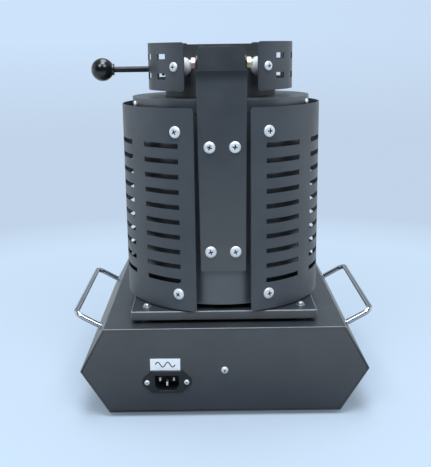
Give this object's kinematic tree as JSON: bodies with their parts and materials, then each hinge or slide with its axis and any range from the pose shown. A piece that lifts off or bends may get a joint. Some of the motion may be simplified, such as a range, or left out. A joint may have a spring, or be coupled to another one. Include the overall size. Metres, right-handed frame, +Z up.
{
  "type": "electric gold melting furnace",
  "caption": "Bench-top electric crucible furnace: hexagonal control base with side handles, round body inside slotted heat shields on ceramic spacers, and a hinged insulated lid.",
  "frame": {"origin": "on the furnace body's axis, level with the underside of the four feet", "axes": "+Z up along the furnace body's axis; +Y towards the rear, where the mains inlet and the lid hinge are; +X to the right seen from the control side"},
  "size_m": [0.3272, 0.3284, 0.3715],
  "materials": {
    "slate_paint": "fine-textured dark slate powder coat, satin",
    "chrome": "bright nickel-chrome plating",
    "zinc_plate": "zinc-plated steel, satin",
    "yellow_zinc": "pale yellow-passivated nuts",
    "glazed_white": "white electrical porcelain, lightly glazed",
    "fibre_board": "vacuum-formed ceramic fibre, dry and matt",
    "refractory": "fired refractory, matt",
    "element_wire": "oxidised heating alloy",
    "graphite": "machined graphite, dark grey sheen",
    "black_moulding": "black thermoset moulding",
    "gloss_black": "black phenolic, polished",
    "window": "smoked acrylic display window",
    "button_grey": "grey silicone-faced buttons",
    "rocker_red": "red translucent rocker",
    "rubber": "black rubber",
    "heat_sink": "extruded aluminium",
    "relay_body": "pale grey potted moulding",
    "terminal_white": "steatite terminal block"
  },
  "bodies": {
    "furnace": {"base_shell": "slate_paint", "front_panel": "slate_paint", "rear_panel": "slate_paint", "feet": "rubber", "panel_bracket": "zinc_plate", "rear_panel_screw": "chrome", "handle_left": "chrome", "handle_right": "chrome", "handle_screws": "zinc_plate", "power_inlet": "black_moulding", "inlet_pins": "zinc_plate", "inlet_screws": "chrome", "temperature_controller": "black_moulding", "controller_window": "window", "switch_frame": "black_moulding", "relay_heat_sink": "heat_sink", "solid_state_relay": "relay_body", "terminal_block": "terminal_white", "tray": "slate_paint", "tray_spacers": "zinc_plate", "tray_bolts": "chrome", "drum_spacers": "zinc_plate", "drum_bolts": "zinc_plate", "drum": "slate_paint", "drum_cap": "slate_paint", "cap_screws": "chrome", "mouth_collar": "refractory", "wall_insulation": "fibre_board", "floor_insulation": "fibre_board", "muffle": "refractory", "heating_coil": "element_wire", "element_leads": "element_wire", "lead_bushes": "glazed_white", "thermocouple": "refractory", "crucible_stand": "refractory", "crucible": "graphite", "shield_left": "slate_paint", "shield_right": "slate_paint", "shield_spacers": "glazed_white", "shield_screws": "chrome", "hinge_bracket": "slate_paint", "bracket_screws": "chrome", "hinge_pin": "zinc_plate", "hinge_nuts": "yellow_zinc"},
    "lid": {"lid_drum": "slate_paint", "lid_insulation": "fibre_board", "lid_hinge_arm": "slate_paint", "lid_shield_left": "slate_paint", "lid_shield_right": "slate_paint", "lid_spacers": "glazed_white", "lid_screws": "chrome", "knob_rod": "zinc_plate", "ball_knob": "gloss_black"},
    "power_rocker": {"switch_rocker": "rocker_red"},
    "set_key": {"set_button": "button_grey"},
    "shift_key": {"shift_button": "button_grey"},
    "down_key": {"down_button": "button_grey"},
    "up_key": {"up_button": "button_grey"}
  },
  "joints": [
    {"name": "lid_hinge", "type": "hinge", "parent": "furnace", "child": "lid", "pos_m": [0, 0.078, 0.352], "axis": [-1, 0, 0], "range_deg": [0, 95]},
    {"name": "power_switch", "type": "hinge", "parent": "furnace", "child": "power_rocker", "pos_m": [0.085, -0.2054, 0.05], "axis": [-1, 0, 0], "range_deg": [0, 18]},
    {"name": "set_press", "type": "slide", "parent": "furnace", "child": "set_key", "axis": [0, 1, 0], "range_m": [0, 0.0008], "stiffness_N_per_m": 400},
    {"name": "shift_press", "type": "slide", "parent": "furnace", "child": "shift_key", "axis": [0, 1, 0], "range_m": [0, 0.0008], "stiffness_N_per_m": 400},
    {"name": "down_press", "type": "slide", "parent": "furnace", "child": "down_key", "axis": [0, 1, 0], "range_m": [0, 0.0008], "stiffness_N_per_m": 400},
    {"name": "up_press", "type": "slide", "parent": "furnace", "child": "up_key", "axis": [0, 1, 0], "range_m": [0, 0.0008], "stiffness_N_per_m": 400}
  ]
}
